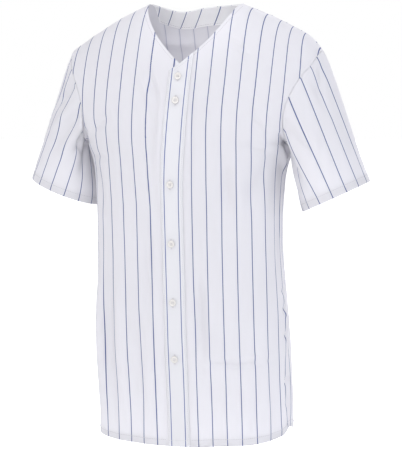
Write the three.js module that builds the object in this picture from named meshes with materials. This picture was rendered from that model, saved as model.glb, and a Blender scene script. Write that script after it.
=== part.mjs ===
// A short-sleeved baseball jersey with a full button front, hollow as when it is worn.
// Millimetres. +X is the wearer's left, -Y the front, +Z up. The origin is on the centre
// plane, level with the middle of the shoulder seams, where the shoulders carry it.
import * as THREE from 'three';

// Cloth
const WALL = 1.6;
const SEAM_GAP = 0.3;
const LAY_GAP = 0.5;

// Shoulder seams: their fall from the neck point to the tip, the left one held higher
const NECK_POINT_X = 84;
const NECK_POINT_Z = 38;
const LEFT_SHOULDER = [
  { out: 84, fall: 0 },
  { out: 130, fall: 19 },
  { out: 166, fall: 35 },
  { out: 183, fall: 43 },
  { out: 201, fall: 53 },
  { out: 213, fall: 64 },
  { out: 225, fall: 79 },
];
const RIGHT_SHOULDER = [
  { out: 84, fall: 0 },
  { out: 102, fall: 8 },
  { out: 140, fall: 27 },
  { out: 178, fall: 48 },
  { out: 200, fall: 61.5 },
  { out: 225, fall: 78 },
];

// Across the neck the seams' line levels out at this height over the neck points
const NECK_LEVEL = 6;
const NECK_ROUND = 12;

// Above ARCH_DROP the chest and back curve in to meet at the shoulder seams
const ARCH_DROP = 300;
const ARCH_POWER = 1.85;
const SHOULDER_SPREAD = 0.035;
const ARMPIT_DROP = 230;

// Roundness of the half sections: 2 is an ellipse, more is squarer
const FRONT_ROUNDNESS = 2.9;
const BACK_ROUNDNESS = 2.3;

// Drop is measured down from the neck point, sway is the section's shift to the left
const SECTIONS = [
  { drop: 0, halfWidth: 262, front: 104, back: 92, sway: 0 },
  { drop: 110, halfWidth: 246, front: 104, back: 94, sway: -2 },
  { drop: 165, halfWidth: 218, front: 104, back: 95, sway: -4 },
  { drop: 228, halfWidth: 183, front: 103, back: 94, sway: -7 },
  { drop: 267, halfWidth: 171, front: 102, back: 92, sway: -9 },
  { drop: 313, halfWidth: 166, front: 101, back: 92, sway: -10 },
  { drop: 409, halfWidth: 163, front: 93, back: 102, sway: -11 },
  { drop: 500, halfWidth: 168, front: 95, back: 108, sway: -8 },
  { drop: 578, halfWidth: 171, front: 99, back: 113, sway: -4 },
  { drop: 660, halfWidth: 172.5, front: 98, back: 116, sway: -1 },
  { drop: 760, halfWidth: 171, front: 92, back: 118, sway: 0 },
];

// Neckline of a front: how far from the centre it runs at each drop
const NECKLINE = [
  { drop: 0, across: 81 },
  { drop: 24, across: 70 },
  { drop: 43, across: 59 },
  { drop: 61, across: 46 },
  { drop: 77, across: 31 },
  { drop: 92, across: 15.5 },
  { drop: 105, across: 0 },
  { drop: 117, across: -17.7 },
];

// Neckline of the back, which hangs lower on the right
const BACK_NECKLINE = [
  { across: -81, drop: 0 },
  { across: -73, drop: 7 },
  { across: -59, drop: 13.5 },
  { across: -42, drop: 18.5 },
  { across: -23, drop: 18 },
  { across: -4, drop: 14.5 },
  { across: 14, drop: 12 },
  { across: 33, drop: 10 },
  { across: 53, drop: 8 },
  { across: 73, drop: 4 },
  { across: 81, drop: 0 },
];

// Armhole: distance from the centre on the front and the back, and around the sleeve head
const ARMHOLE = [
  { drop: 0, front: 217.4, back: 217.4, sleeve: 0 },
  { drop: 22, front: 215, back: 216, sleeve: 11 },
  { drop: 50, front: 210, back: 212, sleeve: 36 },
  { drop: 85, front: 199, back: 204, sleeve: 61 },
  { drop: 124, front: 187, back: 197, sleeve: 83 },
  { drop: 158, front: 181, back: 194, sleeve: 98 },
  { drop: 190, front: 182.6, back: 195.5, sleeve: 110 },
  { drop: 210, front: 193, back: 204, sleeve: 126 },
  { drop: 222, front: 210, back: 218, sleeve: 152 },
];
const SLEEVE_HALF_WIDTH = 200;

// Shirt-tail hem: its rise at each share of the way to a side seam, the left one being 1
const HEM_DROP = 750;
const HEM_RISE = [
  { share: -1, rise: 15 },
  { share: -0.8, rise: 4.5 },
  { share: -0.5, rise: -2 },
  { share: 0, rise: -2 },
  { share: 0.3, rise: 4 },
  { share: 0.6, rise: 9 },
  { share: 0.85, rise: 17.5 },
  { share: 1, rise: 29 },
];

// Placket strip and the fronts under it, measured from the centre line
const PLACKET_FREE_EDGE = -17.5;
const PLACKET_SEAM_EDGE = 22;
const LEFT_FRONT_EDGE = 20.2;
const RIGHT_FRONT_EDGE = 17.7;
const PLACKET_LIFTS = [LAY_GAP + WALL, LAY_GAP];

// Facing strip inside the back neck
const FACING_SHARE = 0.37;
const FACING_DROP = 31;
const FACING_LIFTS = [-WALL - LAY_GAP, -WALL - LAY_GAP - WALL];

// Sleeves: the cuff's middle, its tilts out and forward from level, and its radii
const SLEEVES = [
  { name: 'sleeve_left', side: 1, out: 251, forward: 4, drop: 323, tilt: 25, lift: -3, across: 62, deep: 66 },
  { name: 'sleeve_right', side: -1, out: 243, forward: 0, drop: 327, tilt: 20, lift: 0, across: 69, deep: 59.5 },
];
const HEAD_PULL = 0.45;
const CUFF_PULL = 0.8;
const HEAD_TURN = 0.75;
const UNDERARM_LEAN = 0.12;
const SLEEVE_GAP = 0.4;

// Buttons: drop of each one along the centre line
const BUTTON_DROPS = [126, 165, 303, 404, 504, 600];
const BUTTON_GAP = 0.6;
const BUTTON_SIDES = 20;

// Half section of a button, from the middle of its underside round the rim into its dish
const BUTTON_PROFILE = [
  { radius: 0, height: 0 },
  { radius: 5, height: 0 },
  { radius: 6.2, height: 1 },
  { radius: 6.2, height: 1.8 },
  { radius: 5.5, height: 2.6 },
  { radius: 4.5, height: 2.6 },
  { radius: 3.4, height: 1.9 },
  { radius: 0, height: 1.9 },
];

// Folds flatten out within this distance of a seam
const SEAM_FADE = 30;

// Largest folds: from (across, drop) to (acrossEnd, dropEnd), half width and height
const FRONT_FOLDS = [
  { across: -24, drop: 150, acrossEnd: -22, dropEnd: 290, width: 16, height: 3 },
  { across: 92, drop: 270, acrossEnd: 88, dropEnd: 400, width: 20, height: -4 },
  { across: 50, drop: 470, acrossEnd: 46, dropEnd: 610, width: 18, height: -4 },
  { across: 180, drop: 236, acrossEnd: 118, dropEnd: 370, width: 17, height: -5 },
  { across: -180, drop: 240, acrossEnd: -125, dropEnd: 360, width: 17, height: -4 },
  { across: -150, drop: 480, acrossEnd: -158, dropEnd: 790, width: 16, height: 5 },
  { across: -188, drop: 430, acrossEnd: -190, dropEnd: 790, width: 16, height: -5 },
  { across: 118, drop: 560, acrossEnd: 122, dropEnd: 790, width: 18, height: 4 },
  { across: 178, drop: 520, acrossEnd: 170, dropEnd: 790, width: 17, height: -5 },
  { across: -75, drop: 600, acrossEnd: -80, dropEnd: 790, width: 18, height: -4 },
];
const BACK_FOLDS = [
  { across: -172, drop: 236, acrossEnd: -90, dropEnd: 390, width: 19, height: -5 },
  { across: 172, drop: 236, acrossEnd: 95, dropEnd: 380, width: 19, height: -5 },
  { across: -60, drop: 360, acrossEnd: -70, dropEnd: 640, width: 22, height: 5 },
  { across: 40, drop: 400, acrossEnd: 52, dropEnd: 720, width: 22, height: -5 },
  { across: 140, drop: 480, acrossEnd: 150, dropEnd: 790, width: 20, height: 5 },
  { across: -150, drop: 520, acrossEnd: -158, dropEnd: 790, width: 20, height: -5 },
];

// Rows and columns of the cloth
const YOKE_ROWS = [0, 2, 7, 16, FACING_DROP, 46, 61, 77, 92, 105, 119, 138, 158, 178, 196, 210, 220, 226, 230];
const BODY_ROWS = 13;
const FRONT_COLUMNS = 11;
const HALF_BACK_SHARES = [0.125, 0.25, FACING_SHARE, 0.5, 0.625, 0.75, 0.875, 1];
const BACK_SHARES = [...HALF_BACK_SHARES.map((s) => -s).reverse(), 0, ...HALF_BACK_SHARES];
const SLEEVE_ROWS = [0, 0.05, 0.12, 0.21, 0.32, 0.45, 0.59, 0.73, 0.87, 1];
const PLACKET_COLUMNS = 3;

const FRONT = -1;
const BACK = 1;

const white = { color: 0xf1f2f7, roughness: 0.8, metalness: 0 };
const pearl = { color: 0xefeeea, roughness: 0.35, metalness: 0 };

// Smooth curve through a table's rows
function lookup(table, key, value, at) {
  const last = table.length - 1;
  const x = Math.min(Math.max(at, table[0][key]), table[last][key]);
  let i = 0;
  while (i < last - 1 && x > table[i + 1][key]) i += 1;
  const slope = (j) => {
    const low = table[Math.max(j - 1, 0)];
    const high = table[Math.min(j + 1, last)];
    return (high[value] - low[value]) / (high[key] - low[key]);
  };
  const span = table[i + 1][key] - table[i][key];
  const s = (x - table[i][key]) / span;
  const rise = s * s * (3 - 2 * s);
  const start = s * (1 - s) * (1 - s) * span * slope(i);
  const end = s * s * (s - 1) * span * slope(i + 1);
  return table[i][value] * (1 - rise) + table[i + 1][value] * rise + start + end;
}

// Quarter of a section from the centre to the side, with the length along the cloth
const RING_STEPS = 120;
const ringCache = new Map();
function quarterRing(side, drop) {
  const key = `${side}:${drop}`;
  if (ringCache.has(key)) return ringCache.get(key);
  const width = lookup(SECTIONS, 'drop', 'halfWidth', drop);
  const depth = lookup(SECTIONS, 'drop', side === FRONT ? 'front' : 'back', drop);
  const power = 2 / (side === FRONT ? FRONT_ROUNDNESS : BACK_ROUNDNESS);
  const climb = Math.max(0, (ARCH_DROP - drop) / ARCH_DROP);
  const arch = Math.sqrt(1 - climb ** ARCH_POWER);
  const ring = { x: [0], y: [side * depth * arch], length: [0], climb };
  for (let i = 1; i <= RING_STEPS; i += 1) {
    const angle = (i / RING_STEPS) * Math.PI / 2;
    const x = width * Math.sin(angle) ** power;
    const y = i === RING_STEPS ? 0 : side * depth * arch * Math.cos(angle) ** power;
    ring.length.push(ring.length[i - 1] + Math.hypot(x - ring.x[i - 1], y - ring.y[i - 1]));
    ring.x.push(x);
    ring.y.push(y);
  }
  ringCache.set(key, ring);
  return ring;
}

function halfGirth(side, drop) {
  return quarterRing(side, drop).length[RING_STEPS];
}

// Height of the shoulder seam's line at a distance out, which levels out across the neck
function shoulderZ(hand, out) {
  const past = out - NECK_POINT_X;
  if (past < 0) return NECK_POINT_Z + NECK_LEVEL * (1 - Math.exp(past / NECK_ROUND));
  return NECK_POINT_Z - lookup(hand > 0 ? LEFT_SHOULDER : RIGHT_SHOULDER, 'out', 'fall', out);
}

// Smooth body surface: across is the length along the cloth from the centre line
function bodyPoint(side, across, drop) {
  const ring = quarterRing(side, drop);
  const length = Math.min(Math.abs(across), ring.length[RING_STEPS]);
  let i = 0;
  while (i < RING_STEPS - 1 && ring.length[i + 1] < length) i += 1;
  const s = (length - ring.length[i]) / (ring.length[i + 1] - ring.length[i]);
  const reach = (ring.x[i] + (ring.x[i + 1] - ring.x[i]) * s) * (1 + SHOULDER_SPREAD * ring.climb);
  const y = ring.y[i] + (ring.y[i + 1] - ring.y[i]) * s;
  const x = Math.sign(across) * reach + lookup(SECTIONS, 'drop', 'sway', drop);
  if (drop >= ARCH_DROP) return new THREE.Vector3(x, y, NECK_POINT_Z - drop);
  const base = NECK_POINT_Z - ARCH_DROP;
  return new THREE.Vector3(x, y, base + (shoulderZ(Math.sign(across), reach) - base) * ring.climb);
}

function bodyNormal(side, across, drop) {
  const step = 1;
  const limit = halfGirth(side, drop) - 2 * step;
  const u = Math.min(Math.max(across, -limit), limit);
  const v = Math.max(drop, 2 * step);
  const along = bodyPoint(side, u + step, v).sub(bodyPoint(side, u - step, v));
  const down = bodyPoint(side, u, v + step).sub(bodyPoint(side, u, v - step));
  return along.cross(down).multiplyScalar(side).normalize();
}

// Height of the folds: each is soft across, and fades in and out along its length
function foldHeight(folds, across, drop) {
  let height = 0;
  for (const fold of folds) {
    const s = (drop - fold.drop) / (fold.dropEnd - fold.drop);
    if (s > 0 && s < 1) {
      const middle = fold.across + (fold.acrossEnd - fold.across) * s;
      const off = (across - middle) / fold.width;
      height += fold.height * Math.sin(Math.PI * s) * Math.exp(-off * off);
    }
  }
  return height;
}

// A point of the cloth's outer face with its folds, lifted off it, or sunk where lift is negative
function clothPoint(side, across, drop, lift = 0) {
  const edge = drop < ARMPIT_DROP ? armholeAcross(side, drop) : halfGirth(side, drop);
  const fade = Math.min(1, Math.max(0, (edge - Math.abs(across)) / SEAM_FADE));
  const folds = side === FRONT ? FRONT_FOLDS : BACK_FOLDS;
  const height = foldHeight(folds, across, drop) * fade + lift;
  return bodyPoint(side, across, drop).addScaledVector(bodyNormal(side, across, drop), height);
}

function armholeAcross(side, drop) {
  const column = side === FRONT ? 'front' : 'back';
  const end = { drop: ARMPIT_DROP, [column]: halfGirth(side, ARMPIT_DROP) };
  return lookup([...ARMHOLE, end], 'drop', column, drop);
}

function sleeveAcross(drop) {
  return lookup([...ARMHOLE, { drop: ARMPIT_DROP, sleeve: SLEEVE_HALF_WIDTH }], 'drop', 'sleeve', drop);
}

// Drop of the hem, for a share of the way from the centre to a side seam
function hemDrop(share) {
  return HEM_DROP - lookup(HEM_RISE, 'share', 'rise', share);
}

function bodyRowDrop(row, share) {
  return ARMPIT_DROP + (hemDrop(share) - ARMPIT_DROP) * row / BODY_ROWS;
}

// Drop at which the neckline of the overlapping front crosses a distance across
function necklineDrop(across) {
  const falling = NECKLINE.map((row) => ({ drop: row.drop, inward: -row.across }));
  return lookup(falling, 'inward', 'drop', -across);
}

function backNeckDrop(across) {
  return lookup(BACK_NECKLINE, 'across', 'drop', across);
}

// Even steps from 0 to 1
function range(steps) {
  return Array.from({ length: steps + 1 }, (_, i) => i / steps);
}

// Normal of a grid of points at one of them, from its neighbours
function gridNormal(grid, row, column, ringed) {
  const columns = grid[0].length;
  const before = ringed ? (column + columns - 1) % columns : Math.max(column - 1, 0);
  const after = ringed ? (column + 1) % columns : Math.min(column + 1, columns - 1);
  const above = grid[Math.max(row - 1, 0)][column];
  const below = grid[Math.min(row + 1, grid.length - 1)][column];
  const along = grid[row][after].clone().sub(grid[row][before]);
  return along.cross(below.clone().sub(above)).normalize();
}

// Closed wall between an outer and an inner grid of points
function wallGeometry(outer, inner, ringed) {
  const rows = outer.length;
  const columns = outer[0].length;
  const positions = [];
  for (const grid of [outer, inner]) {
    for (const row of grid) row.forEach((p) => positions.push(p.x, p.y, p.z));
  }
  const index = [];
  const quad = (a, b, c, d) => index.push(a, b, c, a, c, d);
  const out = (i, j) => i * columns + (j % columns);
  const into = (i, j) => rows * columns + out(i, j);
  const across = ringed ? columns : columns - 1;
  for (let i = 0; i < rows - 1; i += 1) {
    for (let j = 0; j < across; j += 1) {
      quad(out(i, j), out(i + 1, j), out(i + 1, j + 1), out(i, j + 1));
      quad(into(i, j), into(i, j + 1), into(i + 1, j + 1), into(i + 1, j));
    }
  }
  for (let j = 0; j < across; j += 1) {
    quad(out(0, j), out(0, j + 1), into(0, j + 1), into(0, j));
    quad(out(rows - 1, j), into(rows - 1, j), into(rows - 1, j + 1), out(rows - 1, j + 1));
  }
  if (!ringed) {
    for (let i = 0; i < rows - 1; i += 1) {
      quad(out(i, 0), into(i, 0), into(i + 1, 0), out(i + 1, 0));
      quad(out(i, columns - 1), out(i + 1, columns - 1), into(i + 1, columns - 1), into(i, columns - 1));
    }
  }
  if (signedVolume(positions, index) < 0) index.reverse();
  const geometry = new THREE.BufferGeometry();
  geometry.setAttribute('position', new THREE.Float32BufferAttribute(positions, 3));
  geometry.setIndex(index);
  geometry.computeVertexNormals();
  return geometry;
}

function signedVolume(positions, index) {
  const corner = (k) => new THREE.Vector3().fromArray(positions, 3 * index[k]);
  let volume = 0;
  for (let k = 0; k < index.length; k += 3) {
    volume += corner(k).dot(corner(k + 1).cross(corner(k + 2)));
  }
  return volume;
}

function namedMesh(name, geometry, look) {
  const mesh = new THREE.Mesh(geometry, new THREE.MeshStandardMaterial(look));
  mesh.name = name;
  return mesh;
}

// Points this near the plane of the side and shoulder seams are on a seam
const ON_SEAM = 1;

// Moves the seam edges of a body panel half a gap off the seam plane
function settleSeams(side, grid) {
  return grid.map((row, i) => row.map((point) => {
    const onSeam = Math.abs(point.y) < ON_SEAM && (i === 0 || i >= YOKE_ROWS.length - 1);
    return onSeam ? point.clone().setY(side * SEAM_GAP / 2) : point;
  }));
}

// A body panel's grid moved along its normals, which stay in the seam plane at a seam
function liftedGrid(grid, lift) {
  const row = YOKE_ROWS.length;
  const column = Math.floor(grid[0].length / 2);
  const side = Math.sign(grid[row][column].y);
  const outward = Math.sign(gridNormal(grid, row, column).y) * side;
  return grid.map((points, i) => points.map((point, j) => {
    const normal = gridNormal(grid, i, j).multiplyScalar(outward);
    if (Math.abs(point.y) < ON_SEAM) normal.setY(0).normalize();
    return point.clone().addScaledVector(normal, lift);
  }));
}

function panelMesh(name, grid) {
  return namedMesh(name, wallGeometry(grid, liftedGrid(grid, -WALL), false), white);
}

// Grid of a front: from its neckline and centre edge out to the armhole and side seam
function frontGrid(hand, centreEdge) {
  const grid = [];
  for (const drop of YOKE_ROWS) {
    const start = Math.max(lookup(NECKLINE, 'drop', 'across', drop), centreEdge);
    const end = armholeAcross(FRONT, drop);
    grid.push(range(FRONT_COLUMNS).map((s) => {
      const across = start + (end - start) * s;
      return clothPoint(FRONT, hand * across, drop);
    }));
  }
  for (let row = 1; row <= BODY_ROWS; row += 1) {
    grid.push(range(FRONT_COLUMNS).map((s) => {
      const drop = bodyRowDrop(row, hand * s);
      const across = centreEdge + (halfGirth(FRONT, drop) - centreEdge) * s;
      return clothPoint(FRONT, hand * across, drop);
    }));
  }
  return settleSeams(FRONT, grid);
}

// A point of the back above the armpits, with the neck scooped out of its top edge
function backPoint(share, drop) {
  const lowered = drop + backNeckDrop(share * ARMHOLE[0].back) * (1 - drop / ARMPIT_DROP);
  return clothPoint(BACK, share * armholeAcross(BACK, drop), lowered);
}

// Grid of the back, across from side to side
function backGrid() {
  const grid = YOKE_ROWS.map((drop) => BACK_SHARES.map((s) => backPoint(s, drop)));
  for (let row = 1; row <= BODY_ROWS; row += 1) {
    grid.push(BACK_SHARES.map((s) => {
      const drop = bodyRowDrop(row, s);
      return clothPoint(BACK, s * halfGirth(BACK, drop), drop);
    }));
  }
  return settleSeams(BACK, grid);
}

// Armhole edge of both panels as a ring, from the shoulder tip down the front and up the back
function armholeRing(hand) {
  const ring = [];
  const add = (side, drop) => ring.push({
    point: clothPoint(side, hand * armholeAcross(side, drop), drop),
    width: -side * sleeveAcross(drop),
  });
  YOKE_ROWS.forEach((drop) => add(FRONT, drop));
  YOKE_ROWS.slice(1, -1).reverse().forEach((drop) => add(BACK, drop));
  return ring;
}

// A sleeve sweeps from the armhole to the cuff, each line of it along the cloth's grain
function sleeveMesh(sleeve) {
  const hand = sleeve.side;
  const tilt = THREE.MathUtils.degToRad(sleeve.tilt);
  const lift = THREE.MathUtils.degToRad(sleeve.lift);
  const axis = new THREE.Vector3(hand * Math.sin(tilt), 0, -Math.cos(tilt));
  const outward = new THREE.Vector3(hand * Math.cos(tilt), 0, Math.sin(tilt));
  const forward = new THREE.Vector3(0, -Math.cos(lift), Math.sin(lift));
  const middle = new THREE.Vector3(hand * sleeve.out, -sleeve.forward, NECK_POINT_Z - sleeve.drop);
  const ring = armholeRing(hand);
  const top = ring[0].point;
  const bottom = ring[YOKE_ROWS.length - 1].point;
  const plane = top.clone().sub(bottom).cross(new THREE.Vector3(0, -hand, 0)).normalize();
  const slope = top.clone().sub(new THREE.Vector3(hand * NECK_POINT_X, 0, NECK_POINT_Z)).normalize();
  const under = new THREE.Vector3(hand * UNDERARM_LEAN, 0, -1).normalize();
  const grid = SLEEVE_ROWS.map(() => []);
  ring.forEach(({ point, width }) => {
    const turn = width / SLEEVE_HALF_WIDTH * Math.PI;
    const cuff = middle.clone()
      .addScaledVector(outward, sleeve.across * Math.cos(turn))
      .addScaledVector(forward, sleeve.deep * Math.sin(turn));
    const height = (point.z - bottom.z) / (top.z - bottom.z);
    const leave = slope.clone().lerp(axis, HEAD_TURN).lerp(under, 1 - height).normalize();
    const start = point.clone().addScaledVector(plane, SLEEVE_GAP);
    const reach = start.distanceTo(cuff);
    SLEEVE_ROWS.forEach((s, i) => {
      grid[i].push(hermite(start, leave.clone().multiplyScalar(reach * HEAD_PULL), cuff,
        axis.clone().multiplyScalar(reach * CUFF_PULL), s));
    });
  });
  const halfway = Math.floor(SLEEVE_ROWS.length / 2);
  const turned = gridNormal(grid, halfway, 0, true).x * hand > 0 ? 1 : -1;
  const inner = grid.map((row, i) => row.map((point, j) => {
    const normal = gridNormal(grid, i, j, true).multiplyScalar(turned);
    if (i === 0) normal.projectOnPlane(plane).normalize();
    return point.clone().addScaledVector(normal, -WALL);
  }));
  return namedMesh(sleeve.name, wallGeometry(grid, inner, true), white);
}

function hermite(start, leave, end, arrive, s) {
  const rise = s * s * (3 - 2 * s);
  return start.clone().multiplyScalar(1 - rise)
    .addScaledVector(end, rise)
    .addScaledVector(leave, s * (1 - s) * (1 - s))
    .addScaledVector(arrive, s * s * (s - 1));
}

// A button is a shallow dish with a rounded rim, lying on the placket
function buttonMesh(number, drop) {
  const profile = BUTTON_PROFILE.map(({ radius, height }) => new THREE.Vector2(radius, height));
  const mesh = namedMesh(`button_${number}`, new THREE.LatheGeometry(profile, BUTTON_SIDES), pearl);
  const normal = bodyNormal(FRONT, 0, drop);
  mesh.position.copy(clothPoint(FRONT, 0, drop, PLACKET_LIFTS[0])).addScaledVector(normal, BUTTON_GAP);
  mesh.quaternion.setFromUnitVectors(new THREE.Vector3(0, 1, 0), normal);
  return mesh;
}

// Rows of a strip at the same drops as the rows of the panel that carries it
function placketMesh() {
  const width = PLACKET_SEAM_EDGE - PLACKET_FREE_EDGE;
  const columns = range(PLACKET_COLUMNS).map((s) => PLACKET_FREE_EDGE + width * s);
  const low = YOKE_ROWS.filter((drop) => drop >= necklineDrop(PLACKET_FREE_EDGE));
  const faceAt = (lift) => [
    columns.map((across) => clothPoint(FRONT, across, necklineDrop(across), lift)),
    columns.map((across) => clothPoint(FRONT, across, (necklineDrop(across) + low[1]) / 2, lift)),
    ...low.slice(1).map((drop) => columns.map((across) => clothPoint(FRONT, across, drop, lift))),
    ...range(BODY_ROWS).slice(1).map((s) => columns.map((across) => {
      const share = across / halfGirth(FRONT, HEM_DROP);
      return clothPoint(FRONT, across, bodyRowDrop(s * BODY_ROWS, share), lift);
    })),
  ];
  const [outer, inner] = PLACKET_LIFTS.map(faceAt);
  return namedMesh('placket', wallGeometry(outer, inner, false), white);
}

// The facing is the top middle of the back's own grid, moved in
function facingMesh(grid) {
  const rows = YOKE_ROWS.indexOf(FACING_DROP) + 1;
  const first = BACK_SHARES.indexOf(-FACING_SHARE);
  const end = BACK_SHARES.indexOf(FACING_SHARE) + 1;
  const faceAt = (lift) => liftedGrid(grid, lift).slice(0, rows).map((row) => row.slice(first, end));
  const [outer, inner] = FACING_LIFTS.map(faceAt);
  return namedMesh('back_neck_facing', wallGeometry(outer, inner, false), white);
}

const jersey = new THREE.Group();
const back = backGrid();
jersey.add(panelMesh('front_right', frontGrid(-1, -RIGHT_FRONT_EDGE)));
jersey.add(panelMesh('front_left', frontGrid(1, LEFT_FRONT_EDGE)));
jersey.add(panelMesh('back', back));
jersey.add(placketMesh());
jersey.add(facingMesh(back));
SLEEVES.forEach((sleeve) => jersey.add(sleeveMesh(sleeve)));
BUTTON_DROPS.forEach((drop, i) => jersey.add(buttonMesh(i + 1, drop)));

export default jersey;
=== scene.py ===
"""Looks of a short-sleeved pinstriped baseball jersey, hollow as when it is worn.

The cloth is laid out in millimetres on the garment's own surface: `across` is the distance
along the cloth from the centre line, positive to the wearer's left, and `drop` the distance
down from the neck point. Objects are in metres: +X the wearer's left, -Y the front, +Z up.
"""

import math

import bpy
import numpy as np
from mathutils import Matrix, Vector


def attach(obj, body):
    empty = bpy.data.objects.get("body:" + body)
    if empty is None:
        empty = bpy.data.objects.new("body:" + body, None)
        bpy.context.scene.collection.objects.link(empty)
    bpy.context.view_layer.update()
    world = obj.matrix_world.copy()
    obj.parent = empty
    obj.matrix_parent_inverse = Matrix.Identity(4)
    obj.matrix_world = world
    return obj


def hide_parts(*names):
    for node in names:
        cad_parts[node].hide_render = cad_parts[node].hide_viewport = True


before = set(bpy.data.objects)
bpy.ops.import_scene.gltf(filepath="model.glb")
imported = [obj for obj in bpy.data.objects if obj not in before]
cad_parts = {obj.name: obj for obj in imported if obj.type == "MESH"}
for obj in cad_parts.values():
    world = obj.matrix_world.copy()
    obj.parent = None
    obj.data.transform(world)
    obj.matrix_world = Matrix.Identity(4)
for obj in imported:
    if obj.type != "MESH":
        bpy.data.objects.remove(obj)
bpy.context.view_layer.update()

MM = 0.001
FRONT, BACK = -1, 1


def table(columns, *rows):
    """A table's columns by name, each an array."""
    return dict(zip(columns.split(), np.array(rows, float).T))


# Sizes of the garment, as in the part

NECK_POINT_X, NECK_POINT_Z = 84.0, 38.0
NECK_LEVEL, NECK_ROUND = 6.0, 12.0
ARCH_DROP, ARCH_POWER = 300.0, 1.85
SHOULDER_SPREAD = 0.035
ARMPIT_DROP = 230.0
ROUNDNESS = {FRONT: 2.9, BACK: 2.3}

LEFT_SHOULDER = table(
    "out fall",
    (84, 0),
    (130, 19),
    (166, 35),
    (183, 43),
    (201, 53),
    (213, 64),
    (225, 79),
)
RIGHT_SHOULDER = table(
    "out fall",
    (84, 0),
    (102, 8),
    (140, 27),
    (178, 48),
    (200, 61.5),
    (225, 78),
)
SECTIONS = table(
    "drop half_width front back sway",
    (0, 262, 104, 92, 0),
    (110, 246, 104, 94, -2),
    (165, 218, 104, 95, -4),
    (228, 183, 103, 94, -7),
    (267, 171, 102, 92, -9),
    (313, 166, 101, 92, -10),
    (409, 163, 93, 102, -11),
    (500, 168, 95, 108, -8),
    (578, 171, 99, 113, -4),
    (660, 172.5, 98, 116, -1),
    (760, 171, 92, 118, 0),
)
NECKLINE = table(
    "drop across",
    (0, 81),
    (24, 70),
    (43, 59),
    (61, 46),
    (77, 31),
    (92, 15.5),
    (105, 0),
    (117, -17.7),
)
BACK_NECKLINE = table(
    "across drop",
    (-81, 0),
    (-73, 7),
    (-59, 13.5),
    (-42, 18.5),
    (-23, 18),
    (-4, 14.5),
    (14, 12),
    (33, 10),
    (53, 8),
    (73, 4),
    (81, 0),
)
SLEEVE_HALF_WIDTH = 200.0
ARMHOLE = table(
    "drop front back sleeve",
    (0, 217.4, 217.4, 0),
    (22, 215, 216, 11),
    (50, 210, 212, 36),
    (85, 199, 204, 61),
    (124, 187, 197, 83),
    (158, 181, 194, 98),
    (190, 182.6, 195.5, 110),
    (210, 193, 204, 126),
    (222, 210, 218, 152),
)
HEM_DROP = 750.0
HEM_RISE = table(
    "share rise",
    (-1, 15),
    (-0.8, 4.5),
    (-0.5, -2),
    (0, -2),
    (0.3, 4),
    (0.6, 9),
    (0.85, 17.5),
    (1, 29),
)
PLACKET_FREE_EDGE, PLACKET_SEAM_EDGE = -17.5, 22.0
LEFT_FRONT_EDGE, RIGHT_FRONT_EDGE = 20.2, 17.7
SLEEVES = {
    "left": dict(side=1, out=251, forward=4, drop=323, tilt=25, lift=-3, across=62, deep=66, stripe=9.5),
    "right": dict(side=-1, out=243, forward=0, drop=327, tilt=20, lift=0, across=69, deep=59.5, stripe=15.2),
}
HEAD_PULL, CUFF_PULL, HEAD_TURN, UNDERARM_LEAN = 0.45, 0.8, 0.75, 0.12
SLEEVE_GAP = 0.4
BUTTON_DROPS = [126, 165, 303, 404, 504, 600]

# Cloth

CLOTH = 0.8
SEAM_GAP = 0.3
SEAM_SINK, SEAM_ROLL = 0.6, 1.8
SEAM_FADE = 30.0
STRIPE_PITCH = 25.4
HEM_TURN, CUFF_TURN = 13.0, 14.0
HEM_STITCH, CUFF_STITCH = 11.0, 12.0
TURN_GAP = 0.5
TURN_RADIUS = CLOTH / 2 + TURN_GAP / 2
# Reach of the gathers beside a turning's stitches, and of the fade beside a sleeve's underarm
HEM_GATHER, CUFF_GATHER = 7.0, 6.0
UNDERARM_FADE = 12.0
# The shoulder seam lies above this drop
SHOULDER_SEAM_DROP = 60.0

# Folds
# Each runs from its start through a bend to its end, is soft across its half width and
# fades at both ends. A trough has a negative height.

FRONT_FOLDS = table(
    "across drop bend_across bend_drop end_across end_drop width height",
    (-24, 150, -23, 220, -22, 290, 16, 3),
    (92, 270, 90, 335, 88, 400, 20, -4),
    (50, 470, 48, 540, 46, 610, 18, -4),
    (180, 236, 149, 303, 118, 370, 15, -5),
    (-180, 240, -152, 300, -125, 360, 15, -4),
    (-150, 480, -154, 635, -158, 790, 16, 5),
    (-188, 430, -189, 610, -190, 790, 16, -5),
    (118, 560, 120, 675, 122, 790, 18, 4),
    (178, 520, 174, 655, 170, 790, 17, -5),
    (-75, 600, -78, 695, -80, 790, 18, -4),
)
BACK_FOLDS = table(
    "across drop bend_across bend_drop end_across end_drop width height",
    (-172, 236, -131, 313, -90, 390, 17, -5),
    (172, 236, 133, 308, 95, 380, 17, -5),
    (-60, 360, -65, 500, -70, 640, 22, 5),
    (40, 400, 46, 560, 52, 720, 22, -5),
    (140, 480, 145, 635, 150, 790, 20, 5),
    (-150, 520, -154, 655, -158, 790, 20, -5),
)
FOLDS = {FRONT: FRONT_FOLDS, BACK: BACK_FOLDS}

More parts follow.
